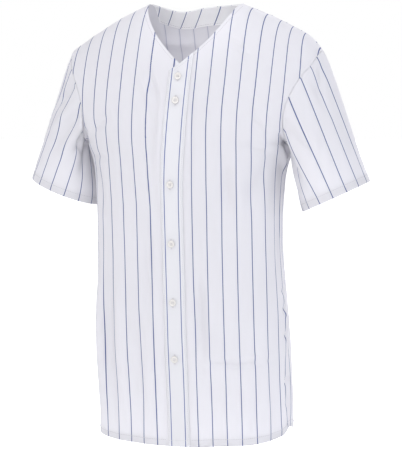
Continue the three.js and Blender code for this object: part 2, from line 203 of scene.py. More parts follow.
# Finer creases of the cloth, which reach closer to the seams
FRONT_CREASES = table(
    "across drop bend_across bend_drop end_across end_drop width height",
    (-30, 130, -25, 230, -21, 350, 6, 1.5),
    (-60, 108, -44, 136, -24, 186, 6, -1.8),
    (-74, 118, -58, 146, -40, 176, 7, 1.2),
    (-36, 150, -30, 205, -30, 260, 5, -1.2),
    (76, 58, 94, 66, 122, 78, 5, -1.1),
    (28, 118, 31, 220, 33, 330, 6, -1.2),
    (48, 440, 50, 520, 44, 600, 7, -2.4),
    (62, 470, 64, 540, 60, 640, 8, 1.6),
    (88, 240, 96, 300, 106, 372, 9, -2.4),
    (112, 250, 118, 310, 124, 380, 10, 1.6),
    (40, 603, 110, 606, 186, 599, 5, -1.5),
    (44, 590, 110, 592, 180, 587, 6, 1.0),
    (176, 197, 194, 214, 236, 262, 7, -6.5),
    (198, 178, 196, 196, 178, 208, 4, -2.6),
    (168, 186, 190, 212, 226, 236, 8, 3.0),
    (190, 232, 208, 254, 238, 300, 8, 3.0),
    (172, 222, 150, 196, 112, 172, 8, -1.8),
    (178, 246, 150, 236, 110, 232, 9, -1.6),
    (205, 300, 206, 380, 202, 470, 9, -2.0),
    (240, 478, 224, 494, 208, 486, 5, -2.2),
    (241, 500, 226, 510, 206, 524, 5, -2.6),
    (241, 520, 226, 532, 212, 526, 5, 2.0),
    (241, 544, 228, 552, 208, 570, 5, -2.6),
    (241, 566, 228, 574, 214, 566, 5, 1.8),
    (242, 622, 230, 632, 208, 650, 5, -2.4),
    (242, 652, 228, 664, 214, 690, 6, -2.0),
    (224, 480, 222, 530, 226, 590, 8, 2.4),
    (214, 590, 212, 660, 216, 730, 8, -2.2),
    (-176, 196, -192, 218, -234, 262, 7, -4.5),
    (-168, 214, -144, 196, -112, 182, 9, -1.8),
    (-182, 258, -152, 250, -116, 262, 9, -1.5),
    (-104, 430, -108, 560, -98, 700, 11, 2.6),
    (-126, 470, -134, 600, -124, 740, 10, -3.2),
    (-150, 440, -158, 560, -150, 700, 11, 3.0),
    (-176, 480, -184, 600, -174, 735, 10, -3.2),
    (-205, 430, -208, 560, -202, 730, 10, 2.4),
    (-66, 520, -70, 620, -62, 735, 9, -2.0),
    (-46, 380, -44, 470, -50, 560, 8, -1.6),
    (-241, 420, -228, 432, -212, 426, 5, -2.0),
    (-241, 520, -226, 532, -208, 546, 5, -2.2),
    (-242, 600, -228, 612, -210, 604, 5, -2.0),
    (134, 620, 138, 680, 132, 742, 8, -2.2),
    (158, 640, 160, 690, 164, 745, 7, 1.8),
    (90, 640, 92, 690, 96, 745, 8, 1.6),
)
BACK_CREASES = table(
    "across drop bend_across bend_drop end_across end_drop width height",
    (-180, 204, -196, 222, -238, 262, 8, -4.5),
    (182, 206, 196, 220, 236, 262, 8, -5.0),
    (-170, 214, -136, 204, -92, 214, 9, -2.0),
    (168, 222, 132, 208, 84, 206, 9, -2.0),
    (-120, 60, -60, 78, 10, 74, 10, -1.6),
    (130, 62, 70, 84, 20, 86, 10, -1.4),
    (-30, 420, -34, 540, -26, 690, 12, -2.6),
    (84, 430, 90, 560, 82, 720, 11, 2.6),
    (110, 470, 118, 600, 108, 742, 10, -2.8),
    (-96, 450, -104, 580, -94, 735, 10, -2.8),
    (-124, 430, -130, 560, -122, 700, 11, 2.4),
    (196, 440, 202, 560, 194, 700, 10, -2.4),
    (-200, 460, -206, 580, -198, 730, 10, 2.4),
    (241, 470, 226, 482, 206, 474, 6, -2.2),
    (241, 520, 226, 534, 208, 548, 6, -2.4),
    (-241, 440, -226, 452, -206, 446, 6, -2.2),
    (-241, 560, -226, 572, -208, 590, 6, -2.2),
    (-20, 250, 30, 262, 80, 252, 12, -2.0),
    (-90, 300, -40, 316, 20, 306, 12, -1.8),
    (20, 640, 24, 690, 18, 745, 8, -2.0),
    (-60, 650, -64, 700, -58, 745, 8, 1.8),
)
CREASES = {FRONT: FRONT_CREASES, BACK: BACK_CREASES}
CREASE_FADE, CREASE_DEPTH = 9.0, 2.0

# The same for sleeves, by width around the sleeve, positive to the front, and rise above the cuff
SLEEVE_CREASES = {
    "left": table(
        "w rise bend_w bend_rise end_w end_rise width height",
        (116, 170, 100, 120, 88, 60, 10, -2.6),
        (92, 160, 78, 110, 70, 40, 11, 2.2),
        (40, 205, 44, 170, 34, 120, 9, -2.0),
        (150, 150, 140, 100, 128, 44, 9, -2.4),
        (172, 140, 160, 90, 158, 30, 10, 2.2),
        (10, 215, 18, 190, 44, 160, 8, -1.6),
        (-60, 190, -70, 130, -62, 60, 11, -2.6),
        (-110, 170, -104, 110, -112, 50, 10, -2.6),
        (-84, 150, -88, 100, -84, 40, 11, 2.2),
        (-150, 150, -142, 100, -148, 40, 9, -2.4),
        (60, 96, 84, 70, 96, 26, 7, -1.2),
    ),
    "right": table(
        "w rise bend_w bend_rise end_w end_rise width height",
        (104, 168, 86, 126, 66, 62, 9, -3.4),
        (70, 196, 52, 170, 30, 128, 8, -3.0),
        (88, 178, 70, 140, 44, 92, 9, 2.6),
        (132, 146, 116, 104, 100, 46, 9, -3.0),
        (120, 158, 104, 118, 84, 60, 8, 2.4),
        (160, 140, 150, 96, 134, 40, 9, -2.6),
        (20, 214, 26, 180, 12, 120, 10, -2.2),
        (96, 120, 118, 92, 140, 80, 7, -2.0),
        (-56, 190, -66, 130, -58, 60, 11, -2.6),
        (-104, 170, -98, 110, -106, 50, 10, -2.8),
        (-80, 150, -84, 100, -80, 40, 11, 2.2),
        (-146, 150, -138, 100, -144, 40, 9, -2.4),
    ),
}


def lookup(rows, key, value, at):
    """Smooth curve through a table's rows."""
    x, y = rows[key], rows[value]
    last = len(x) - 1
    low = np.maximum(np.arange(last + 1) - 1, 0)
    high = np.minimum(np.arange(last + 1) + 1, last)
    slope = (y[high] - y[low]) / (x[high] - x[low])
    at = np.clip(at, x[0], x[-1])
    i = np.clip(np.searchsorted(x, at) - 1, 0, last - 1)
    span = x[i + 1] - x[i]
    s = (at - x[i]) / span
    rise = s * s * (3 - 2 * s)
    leave = s * (1 - s) ** 2 * span * slope[i]
    arrive = s * s * (s - 1) * span * slope[i + 1]
    return y[i] * (1 - rise) + y[i + 1] * rise + leave + arrive


# The garment's surface

RING_STEPS = 240
RING_DROP_END = 820.0
RING_ROWS = 900
RING_COLUMNS = 361


def quarter_rings(side):
    """Sections from the centre to the side, closer together near the shoulders."""
    drop = RING_DROP_END * np.linspace(0, 1, RING_ROWS) ** 2
    angle = np.linspace(0, math.pi / 2, RING_STEPS + 1)
    power = 2 / ROUNDNESS[side]
    width = lookup(SECTIONS, "drop", "half_width", drop)
    depth = lookup(SECTIONS, "drop", "front" if side == FRONT else "back", drop)
    climb = np.maximum(0, (ARCH_DROP - drop) / ARCH_DROP)
    depth = side * depth * np.sqrt(1 - climb**ARCH_POWER)
    x = width[:, None] * np.sin(angle) ** power
    y = depth[:, None] * np.maximum(np.cos(angle), 0) ** power
    y[:, -1] = 0
    steps = np.hypot(np.diff(x), np.diff(y))
    length = np.concatenate([np.zeros((RING_ROWS, 1)), np.cumsum(steps, axis=1)], axis=1)
    share = np.linspace(0, 1, RING_COLUMNS)
    even = [[np.interp(share * n[-1], n, line) for line in (a, b)] for n, a, b in zip(length, x, y)]
    return {"girth": length[:, -1], "x": np.array([e[0] for e in even]), "y": np.array([e[1] for e in even])}


RINGS = {side: quarter_rings(side) for side in (FRONT, BACK)}


def ring_row(drop):
    return np.sqrt(np.clip(drop, 0, RING_DROP_END) / RING_DROP_END) * (RING_ROWS - 1)


def half_girth(side, drop):
    return np.interp(ring_row(drop), np.arange(RING_ROWS), RINGS[side]["girth"])


def between(values, row, column):
    """Values of a grid between its rows and columns."""
    i = np.clip(row.astype(int), 0, values.shape[0] - 2)
    j = np.clip(column.astype(int), 0, values.shape[1] - 2)
    s, t = row - i, column - j
    upper = values[i, j] * (1 - t) + values[i, j + 1] * t
    lower = values[i + 1, j] * (1 - t) + values[i + 1, j + 1] * t
    return upper * (1 - s) + lower * s


def shoulder_z(hand, out):
    """Height of the shoulder seam's line at a distance out, which levels out across the neck."""
    past = out - NECK_POINT_X
    level = NECK_POINT_Z + NECK_LEVEL * (1 - np.exp(np.minimum(past, 0) / NECK_ROUND))
    left = NECK_POINT_Z - lookup(LEFT_SHOULDER, "out", "fall", out)
    right = NECK_POINT_Z - lookup(RIGHT_SHOULDER, "out", "fall", out)
    return np.where(past < 0, level, np.where(hand > 0, left, right))


def body_point(side, across, drop):
    across, drop = np.broadcast_arrays(np.asarray(across, float), np.asarray(drop, float))
    share = np.minimum(np.abs(across) / half_girth(side, drop), 1)
    row, column = ring_row(drop), share * (RING_COLUMNS - 1)
    climb = np.maximum(0, (ARCH_DROP - drop) / ARCH_DROP)
    reach = between(RINGS[side]["x"], row, column) * (1 + SHOULDER_SPREAD * climb)
    y = between(RINGS[side]["y"], row, column)
    x = np.sign(across) * reach + lookup(SECTIONS, "drop", "sway", drop)
    base = NECK_POINT_Z - ARCH_DROP
    arched = base + (shoulder_z(np.sign(across), reach) - base) * climb
    z = np.where(drop >= ARCH_DROP, NECK_POINT_Z - drop, arched)
    return np.stack([x, y, z], axis=-1)


def unit(vectors):
    return vectors / np.maximum(np.linalg.norm(vectors, axis=-1, keepdims=True), 1e-12)


def body_normal(side, across, drop):
    step = 1.0
    limit = half_girth(side, drop) - 2 * step
    u = np.clip(across, -limit, limit)
    v = np.maximum(drop, 2 * step)
    along = body_point(side, u + step, v) - body_point(side, u - step, v)
    down = body_point(side, u, v + step) - body_point(side, u, v - step)
    return unit(np.cross(along, down)) * side


def armhole_across(side, drop):
    column = "front" if side == FRONT else "back"
    rows = {
        "drop": np.append(ARMHOLE["drop"], ARMPIT_DROP),
        column: np.append(ARMHOLE[column], half_girth(side, ARMPIT_DROP)),
    }
    return lookup(rows, "drop", column, drop)


def sleeve_across(drop):
    rows = {
        "drop": np.append(ARMHOLE["drop"], ARMPIT_DROP),
        "sleeve": np.append(ARMHOLE["sleeve"], SLEEVE_HALF_WIDTH),
    }
    return lookup(rows, "drop", "sleeve", drop)


def hem_drop(share):
    return HEM_DROP - lookup(HEM_RISE, "share", "rise", share)


def hem_at(across):
    """Drop of the hem at a distance across the front."""
    return hem_drop(across / half_girth(FRONT, HEM_DROP))


def neckline_drop(across):
    """Drop at which the neckline of the overlapping front crosses a distance across."""
    falling = {"inward": -NECKLINE["across"], "drop": NECKLINE["drop"]}
    return lookup(falling, "inward", "drop", -np.asarray(across, float))


def back_neck_drop(across):
    return lookup(BACK_NECKLINE, "across", "drop", across)


def fold_height(folds, x, y):
    """Height of all folds of a table at points of the cloth."""
    height = np.zeros(np.shape(x))
    t = np.linspace(0, 1, 25)
    for ax, ay, bx, by, cx, cy, width, tall in zip(*folds.values()):
        px = (1 - t) ** 2 * ax + 2 * t * (1 - t) * bx + t**2 * cx
        py = (1 - t) ** 2 * ay + 2 * t * (1 - t) * by + t**2 * cy
        reach = 3 * width
        near = (x > px.min() - reach) & (x < px.max() + reach)
        near &= (y > py.min() - reach) & (y < py.max() + reach)
        if not near.any():
            continue
        qx, qy = x[near], y[near]
        nearest = np.full(qx.shape, np.inf)
        place = np.zeros(qx.shape)
        for i in range(len(t) - 1):
            dx, dy = px[i + 1] - px[i], py[i + 1] - py[i]
            s = np.clip(((qx - px[i]) * dx + (qy - py[i]) * dy) / (dx * dx + dy * dy), 0, 1)
            gap = np.hypot(qx - px[i] - s * dx, qy - py[i] - s * dy)
            closer = gap < nearest
            nearest = np.where(closer, gap, nearest)
            place = np.where(closer, t[i] + s * (t[i + 1] - t[i]), place)
        height[near] += tall * np.sin(math.pi * place) * np.exp(-((nearest / width) ** 2))
    return height


def smooth(share):
    share = np.clip(share, 0, 1)
    return share * share * (3 - 2 * share)


def seam_roll(distance):
    """Cloth dips where it is turned into a seam."""
    return -SEAM_SINK * np.exp(-((distance / SEAM_ROLL) ** 2))


def ripple(u, v):
    """Slight unevenness of limp cloth."""
    long = np.sin(u / 17 + 2.2 * np.sin(v / 90)) * np.sin(v / 61 + u / 140)
    short = np.sin(u / 8.3 + 1.7 * np.sin(v / 37 + 1)) * np.sin(v / 29 - u / 70 + 2)
    return 0.7 * long + 0.22 * short


def gather(u):
    """Height of the small gathers along a stitched turning."""
    return 0.3 * np.sin(u / 2.9 + 1.3 * np.sin(u / 11)) + 0.35 * np.sin(u / 6.1 + 2 * np.sin(u / 23))


def hem_stitch_drop(side, across):
    share = np.clip(across / half_girth(side, np.array(HEM_DROP)), -1, 1)
    return hem_drop(share) - HEM_STITCH


def body_cloth(side, across, drop, lift=0.0, rolled=True):
    """Points of the folded cloth of the body, moved out by lift, or in where it is negative."""
    across, drop = np.broadcast_arrays(np.asarray(across, float), np.asarray(drop, float))
    armhole = armhole_across(side, np.minimum(drop, ARMPIT_DROP))
    edge = np.where(drop < ARMPIT_DROP, armhole, half_girth(side, drop))
    inward = edge - np.abs(across)
    base = body_point(side, across, drop)
    height = fold_height(FOLDS[side], across, drop) * smooth(inward / SEAM_FADE)
    height = height + CREASE_DEPTH * fold_height(CREASES[side], across, drop) * smooth(inward / CREASE_FADE)
    height = height + ripple(across, drop) * smooth(inward / CREASE_FADE)
    height = height + gather(across) * np.exp(-(((hem_stitch_drop(side, across) - drop) / HEM_GATHER) ** 2))
    if rolled:
        height = height + seam_roll(inward) + np.where(drop < SHOULDER_SEAM_DROP, seam_roll(base[..., 1]), 0)
    out = body_normal(side, across, drop)
    # On a shoulder or side seam the cloth moves straight up or sideways, and stays on its own side
    on_seam = np.abs(base[..., 1]) < 0.5
    out[on_seam, 1] = 0
    out = unit(out)
    points = base + out * (height + lift)[..., None]
    settled = side * np.maximum(np.abs(points[..., 1]), SEAM_GAP / 2)
    points[..., 1] = np.where(np.abs(base[..., 1]) < 2, settled, points[..., 1])
    return points


# Meshes


def turned_edge(turn):
    """Middle line of an edge turned up inside: rise above the edge, lift, and the cloth's normal."""
    angle = np.linspace(0, math.pi, 7)
    sine, cosine = np.sin(angle), np.cos(angle)
    bend = np.stack([TURN_RADIUS * (1 - sine), -CLOTH / 2 - TURN_RADIUS * (1 - cosine), -sine, cosine])
    rises = np.linspace(TURN_RADIUS, turn, 6)[1:]
    flat = np.stack([rises, np.full(5, -CLOTH / 2 - 2 * TURN_RADIUS), np.zeros(5), -np.ones(5)])
    return dict(zip(("rise", "lift", "normal_rise", "normal_lift"), np.concatenate([bend, flat], axis=1)))


def shell(name, outer, inner, pattern, materials, ringed=False):
    """A closed thin wall between two grids of points, with its pattern coordinates in stripe pitches."""
    rows, columns = outer.shape[:2]
    points = np.concatenate([outer.reshape(-1, 3), inner.reshape(-1, 3)])
    size = rows * columns
    number = np.arange(size).reshape(rows, columns)
    if ringed:
        number = np.concatenate([number, number[:, :1]], axis=1)
    i, j = (index.ravel() for index in np.indices((rows - 1, number.shape[1] - 1)))
    around = ((0, 0), (1, 0), (1, 1), (0, 1))
    quad = lambda values: np.stack([values[i + down, j + along] for down, along in around], axis=1)
    faces = [quad(number), quad(number)[:, ::-1] + size]
    corners = [quad(pattern), quad(pattern)[:, ::-1]]
    inside = [np.zeros(len(i), int), np.ones(len(i), int)]

    def rim(start, end):
        """Joins the two sides along an edge of the grid, from each start to each end."""
        a, b = number[start], number[end]
        faces.append(np.stack([a, b, b + size, a + size], axis=1))
        corners.append(np.stack([pattern[start], pattern[end], pattern[end], pattern[start]], axis=1))
        inside.append(np.zeros(len(a), int))

    rim(np.s_[0, 1:], np.s_[0, :-1])
    rim(np.s_[-1, :-1], np.s_[-1, 1:])
    if not ringed:
        rim(np.s_[:-1, 0], np.s_[1:, 0])
        rim(np.s_[1:, -1], np.s_[:-1, -1])
    faces, corners, inside = np.concatenate(faces), np.concatenate(corners), np.concatenate(inside)
    a, b, c = points[faces[:, 0]], points[faces[:, 1]], points[faces[:, 2]]
    if np.einsum("ij,ij->", a, np.cross(b, c)) < 0:
        faces, corners = faces[:, ::-1], corners[:, ::-1]
    piece = solid(name, points, faces, materials)
    piece.data.polygons.foreach_set("material_index", inside)
    layer = piece.data.uv_layers.new(name="pattern")
    layer.data.foreach_set("uv", corners.reshape(-1).astype(np.float32))
    return piece


def solid(name, points, faces, materials):
    """An object from points in millimetres and faces with equal numbers of corners."""
    mesh = bpy.data.meshes.new(name)
    faces = np.ascontiguousarray(faces, np.int32)
    mesh.vertices.add(len(points))
    mesh.vertices.foreach_set("co", (np.asarray(points) * MM).reshape(-1).astype(np.float32))
    mesh.loops.add(faces.size)
    mesh.loops.foreach_set("vertex_index", faces.reshape(-1))
    mesh.polygons.add(len(faces))
    mesh.polygons.foreach_set("loop_start", np.arange(0, faces.size, faces.shape[1], dtype=np.int32))
    mesh.polygons.foreach_set("use_smooth", np.ones(len(faces), bool))
    mesh.update(calc_edges=True)
    mesh.validate()
    for material in materials:
        mesh.materials.append(material)
    piece = bpy.data.objects.new(name, mesh)
    bpy.context.scene.collection.objects.link(piece)
    return piece


def crowded(count, edge=0.003):
    """Shares from 0 to 1 with one more step close to each end."""
    return np.concatenate([[0, edge], np.linspace(0, 1, count)[1:-1], [1 - edge, 1]])


# Materials


def new_material(name):
    material = bpy.data.materials.new(name)
    material.use_nodes = True
    nodes = material.node_tree.nodes
    return material, nodes, material.node_tree.links, nodes["Principled BSDF"]


def node_of(nodes, kind, **values):
    """A new node of a kind, with its sockets set by name, spaces written as underscores."""
    node = nodes.new("ShaderNode" + kind)
    for name, value in values.items():
        node.inputs[name.replace("_", " ")].default_value = value
    return node


def set_shader(shader, **values):
    for name, value in values.items():
        shader.inputs[name.replace("_", " ")].default_value = value


def math_node(nodes, links, operation, a, b=None, c=None):
    node = node_of(nodes, "Math")
    node.operation = operation
    for socket, value in zip(node.inputs, (a, b, c)):
        if value is None:
            continue
        if isinstance(value, bpy.types.NodeSocket):
            links.new(value, socket)
        else:
            socket.default_value = value
    return node.outputs[0]


STRIPE_HALF_WIDTH = 0.72 / STRIPE_PITCH
STRIPE_SOFT = 0.25 / STRIPE_PITCH
STRIPE_RAGGED = 0.006
WALE, COURSE = 0.9, 0.7
KNIT_DEPTH = 0.0005
SEE_THROUGH, LAYERED_THROUGH = 0.4, 0.12


def cloth_material(name, white, stripe, strength, see_through=SEE_THROUGH):
    """Knitted polyester with woven-in stripes. Pattern coordinates count stripe pitches."""
    material, nodes, links, shader = new_material(name)
    m = lambda *args: math_node(nodes, links, *args)
    pattern = node_of(nodes, "UVMap")
    pattern.uv_map = "pattern"
    split = node_of(nodes, "SeparateXYZ")
    links.new(pattern.outputs["UV"], split.inputs[0])
    u, v = split.outputs[0], split.outputs[1]
    # Distance from the nearest stripe, a little uneven along its edges
    ragged = node_of(nodes, "TexNoise", Scale=55, Detail=2)
    links.new(pattern.outputs["UV"], ragged.inputs["Vector"])
    off = m("ABSOLUTE", m("SUBTRACT", m("FRACT", m("ADD", u, 0.5)), 0.5))
    off = m("ADD", off, m("MULTIPLY", m("SUBTRACT", ragged.outputs["Fac"], 0.5), STRIPE_RAGGED))
    fade = node_of(
        nodes,
        "MapRange",
        From_Min=STRIPE_HALF_WIDTH - STRIPE_SOFT,
        From_Max=STRIPE_HALF_WIDTH + STRIPE_SOFT,
        To_Min=strength,
        To_Max=0,
    )
    fade.interpolation_type = "SMOOTHSTEP"
    links.new(off, fade.inputs["Value"])
    # Soft, large unevenness of the white
    tone = node_of(nodes, "TexNoise", Scale=9, Detail=3)
    place = node_of(nodes, "TexCoord")
    links.new(place.outputs["Object"], tone.inputs["Vector"])
    ground = nodes.new("ShaderNodeMix")
    ground.data_type = "RGBA"
    ground.inputs["A"].default_value = (*[c * 0.965 for c in white], 1)
    ground.inputs["B"].default_value = (*white, 1)
    links.new(tone.outputs["Fac"], ground.inputs["Factor"])
    colour = nodes.new("ShaderNodeMix")
    colour.data_type = "RGBA"
    colour.inputs["B"].default_value = (*stripe, 1)
    links.new(ground.outputs["Result"], colour.inputs["A"])
    links.new(fade.outputs["Result"], colour.inputs["Factor"])
    links.new(colour.outputs["Result"], shader.inputs["Base Color"])
    # Wales and courses of the knit
    wales = m("SINE", m("MULTIPLY", u, 2 * math.pi * STRIPE_PITCH / WALE))
    courses = m("SINE", m("MULTIPLY", v, 2 * math.pi * STRIPE_PITCH / COURSE))
    knit = m("MULTIPLY", wales, courses)
    slub = node_of(nodes, "TexNoise", Scale=140, Detail=2)
    links.new(place.outputs["Object"], slub.inputs["Vector"])
    grain = m("ADD", m("MULTIPLY", knit, 0.35), slub.outputs["Fac"])
    bump = node_of(nodes, "Bump", Strength=0.6, Distance=KNIT_DEPTH)
    links.new(grain, bump.inputs["Height"])
    links.new(bump.outputs["Normal"], shader.inputs["Normal"])
    rough = node_of(nodes, "MapRange", To_Min=0.72, To_Max=0.9)
    links.new(slub.outputs["Fac"], rough.inputs["Value"])
    links.new(rough.outputs["Result"], shader.inputs["Roughness"])
    set_shader(shader, Specular_IOR_Level=0.25, Sheen_Weight=0.12, Sheen_Roughness=0.5)
    # Thin knit lets light through
    through = node_of(nodes, "BsdfTranslucent")
    links.new(colour.outputs["Result"], through.inputs["Color"])
    thin = node_of(nodes, "MixShader", Fac=see_through)
    links.new(shader.outputs["BSDF"], thin.inputs[1])
    links.new(through.outputs["BSDF"], thin.inputs[2])
    links.new(thin.outputs["Shader"], nodes["Material Output"].inputs["Surface"])
    return material


# The inside's white is a little greyer than the outside's: painted shade for the dim inside of the hollow
# jersey.
WHITE, INSIDE_SHADED_WHITE = (0.795, 0.79, 0.83), (0.79, 0.785, 0.815)
# Painted shade on the placket (a darker copy of the white cloth) and painted light on the facing (a whiter
# copy)
PLACKET_SHADED_WHITE, FACING_LIT_WHITE = (0.66, 0.66, 0.70), (0.97, 0.965, 0.985)
STRIPE_BLUE = (0.075, 0.11, 0.30)
CLOTH_LOOKS = (
    cloth_material("cloth_outside", WHITE, STRIPE_BLUE, 1.0),
    cloth_material("cloth_inside_shaded", INSIDE_SHADED_WHITE, STRIPE_BLUE, 0.3),
)
# The placket is folded double and the facing lies on the back, so less light comes through them. The
# placket's white is darker than the cloth's, which is painted shade, and the facing's is whiter, which is
# painted light on a facing that lies in the shade of the back neck.
PLACKET_LOOKS = (cloth_material("cloth_lined_shaded", PLACKET_SHADED_WHITE, STRIPE_BLUE, 1.0, LAYERED_THROUGH),) * 2
FACING_LOOKS = (cloth_material("cloth_facing_lit", FACING_LIT_WHITE, STRIPE_BLUE, 1.0, LAYERED_THROUGH),) * 2


def two_tones(nodes, links, shader, texture, dark, light):
    """Base colour between two tones, by a texture in the object's own coordinates."""
    place = node_of(nodes, "TexCoord")
    links.new(place.outputs["Object"], texture.inputs["Vector"])
    ramp = node_of(nodes, "ValToRGB")
    ramp.color_ramp.elements[0].color = (*dark, 1)
    ramp.color_ramp.elements[1].color = (*light, 1)
    links.new(texture.outputs["Fac"], ramp.inputs["Fac"])
    links.new(ramp.outputs["Color"], shader.inputs["Base Color"])


def button_material():
    material, nodes, links, shader = new_material("pearl")
    swirl = node_of(nodes, "TexNoise", Scale=160, Detail=3, Distortion=1.2)
    two_tones(nodes, links, shader, swirl, (0.48, 0.465, 0.455), (0.62, 0.605, 0.595))
    set_shader(shader, Roughness=0.4, Coat_Weight=0.2, Coat_Roughness=0.12)
    return material


def thread_material():
    material, nodes, links, shader = new_material("thread")
    twist = node_of(nodes, "TexWave", Scale=900, Distortion=2)
    twist.bands_direction = "DIAGONAL"
    # The twist's light and dark streaks are the thread's own. The grey of both tones is painted shade of the
    # dents along the stitch lines and in the button holes, on a thread that is white.
    two_tones(nodes, links, shader, twist, (0.48, 0.47, 0.51), (0.62, 0.61, 0.65))
    bump = node_of(nodes, "Bump", Strength=0.4, Distance=0.0001)
    links.new(twist.outputs["Fac"], bump.inputs["Height"])
    links.new(bump.outputs["Normal"], shader.inputs["Normal"])
    set_shader(shader, Roughness=0.6)
    return material


# Body panels

YOKE_STEPS, BODY_STEPS = 76, 170
FRONT_STEPS, BACK_STEPS = 72, 144
COLUMN_EDGE = 0.004
SHOULDER_CROWDING = 1.6
# Where one stripe of each piece lies
LEFT_FRONT_STRIPE, RIGHT_FRONT_STRIPE = 37.5, -38.0
PLACKET_STRIPE, BACK_STRIPE = -11.0, 3.4
# The left front's lean grows towards the armhole, and the right front's stripes part next to the placket
LEAN_GROWS_FROM, LEAN_GROWS_OVER, LEAN_GROWTH = 130, 70, 0.9
PLACKET_SIDE_PITCH = 0.6


def yoke_drops():
    """Drops from the shoulder to the armpit, closest together where the cloth turns over the shoulder."""
    return ARMPIT_DROP * np.linspace(0, 1, YOKE_STEPS + 1) ** SHOULDER_CROWDING


def turned_rows(turn, columns):
    """Rise, lift and normal of the rows that turn an edge up inside, the same in every column."""
    return [np.repeat(values[:, None], columns, axis=1) for values in turned_edge(turn).values()]


# How far the fronts' stripes lean to the right above the waist
LEAN = table(
    "drop left right",
    (0, -14, -15),
    (60, -10, -14),
    (120, -8, -14),
    (180, -7.5, -13.5),
    (225, -5, -11),
    (262, -2, -6),
    (300, -0.5, -2.5),
    (340, 0, 0),
)


def front_stripes(hand, across, drop):
    """Pattern coordinate across a front, in pitches from its first stripe."""
    if hand > 0:
        growth = LEAN_GROWTH * smooth((across - LEAN_GROWS_FROM) / LEAN_GROWS_OVER)
        lean = lookup(LEAN, "drop", "left", drop) * (1 + growth)
        return (across - lean - LEFT_FRONT_STRIPE) / STRIPE_PITCH
    u = (across - lookup(LEAN, "drop", "right", drop) - RIGHT_FRONT_STRIPE) / STRIPE_PITCH
    return np.where(u > 0, PLACKET_SIDE_PITCH * u, u)


def body_panel(name, side, across, drop, hem_share, stripes):
    """A panel of the body: rows of cloth down to the hem, and the hem's turning."""
    rise, lift, normal_rise, normal_lift = turned_rows(HEM_TURN, across.shape[1])
    bottom = hem_drop(hem_share)
    a = np.concatenate([across, np.broadcast_to(across[-1], rise.shape)])
    d = np.concatenate([drop, bottom - rise])
    lift = np.concatenate([np.full(across.shape, -CLOTH / 2), lift])
    half_drop = np.concatenate([np.zeros(across.shape), -normal_rise]) * CLOTH / 2
    half_lift = np.concatenate([np.ones(across.shape), normal_lift]) * CLOTH / 2
    outer = body_cloth(side, a, d + half_drop, lift + half_lift)
    inner = body_cloth(side, a, d - half_drop, lift - half_lift)
    length = np.concatenate([drop, bottom + rise])
    pattern = np.stack([stripes(a, d), length / STRIPE_PITCH], axis=-1)
    return shell(name, outer, inner, pattern, CLOTH_LOOKS)


def drops_to_hem(share):
    """Drops from the armpit to the bend of the hem, in each column."""
    down = np.linspace(0, 1, BODY_STEPS + 1)[1:]
    return ARMPIT_DROP + (hem_drop(share) - TURN_RADIUS - ARMPIT_DROP) * down[:, None]


def front_layout(hand, centre_edge):
    """Across and drop of a front's rows, from its neckline and centre edge to the armhole and side."""
    share = crowded(FRONT_STEPS, COLUMN_EDGE)
    drop = yoke_drops()
    start = np.maximum(lookup(NECKLINE, "drop", "across", drop), centre_edge)
    end = armhole_across(FRONT, drop)
    across = hand * (start[:, None] + (end - start)[:, None] * share)
    below = drops_to_hem(hand * share)
    lower = hand * (centre_edge + (half_girth(FRONT, below) - centre_edge) * share)
    drops = np.concatenate([np.broadcast_to(drop[:, None], across.shape), below])
    return np.concatenate([across, lower]), drops, hand * share


def below_back_neck(share, drop):
    """Drops of the back's rows, which follow the back neckline and level out at the armpit."""
    return drop + back_neck_drop(share * ARMHOLE["back"][0]) * (1 - drop / ARMPIT_DROP)


def back_layout():
    half = crowded(BACK_STEPS // 2, COLUMN_EDGE)
    share = np.unique(np.concatenate([-half, half]))
    drop = yoke_drops()[:, None]
    below = drops_to_hem(share)
    across = np.concatenate([share * armhole_across(BACK, drop), share * half_girth(BACK, below)])
    return across, np.concatenate([below_back_neck(share, drop), below]), share


def cloth_size(points):
    """Area, widest row and longest column of a grid of points, in metres."""
    down = points[1:, :-1] - points[:-1, :-1]
    along = points[:-1, 1:] - points[:-1, :-1]
    area = np.linalg.norm(np.cross(down, along), axis=-1).sum() * MM * MM
    width = np.linalg.norm(np.diff(points, axis=1), axis=-1).sum(axis=1).max() * MM
    length = np.linalg.norm(np.diff(points, axis=0), axis=-1).sum(axis=0).max() * MM
    return area, width, length


def dress(piece, node, size, turn=0.0):
    """Rides, and replaces its solid."""
    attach(piece, "root")
    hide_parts(node)
    area, width, length = size
    length += turn * MM
    area += turn * width * MM
    area = min(area, width * length)


for hand, name, edge in ((-1, "front_right", -RIGHT_FRONT_EDGE), (1, "front_left", LEFT_FRONT_EDGE)):
    across, drop, share = front_layout(hand, edge)
    piece = body_panel(name + "_cloth", FRONT, across, drop, share, lambda a, d: front_stripes(hand, a, d))
    dress(piece, name, cloth_size(body_point(FRONT, across, drop)), HEM_TURN)

across, drop, share = back_layout()
piece = body_panel("back_cloth", BACK, across, drop, share, lambda a, d: (a - BACK_STRIPE) / STRIPE_PITCH)
dress(piece, "back", cloth_size(body_point(BACK, across, drop)), HEM_TURN)

# Placket

PLACKET_LAYER = 1.1
PLACKET_LIFT = 0.4
PLACKET_ROUND = 0.7
PLACKET_STEPS = 18


def placket_layout():
    share = crowded(PLACKET_STEPS, 0.02)
    across = PLACKET_FREE_EDGE + (PLACKET_SEAM_EDGE - PLACKET_FREE_EDGE) * share
    top = neckline_drop(across)
    down = crowded(220, 0.0008)
    drop = top + (hem_at(across) - top) * down[:, None]
    return np.broadcast_to(across, drop.shape), drop


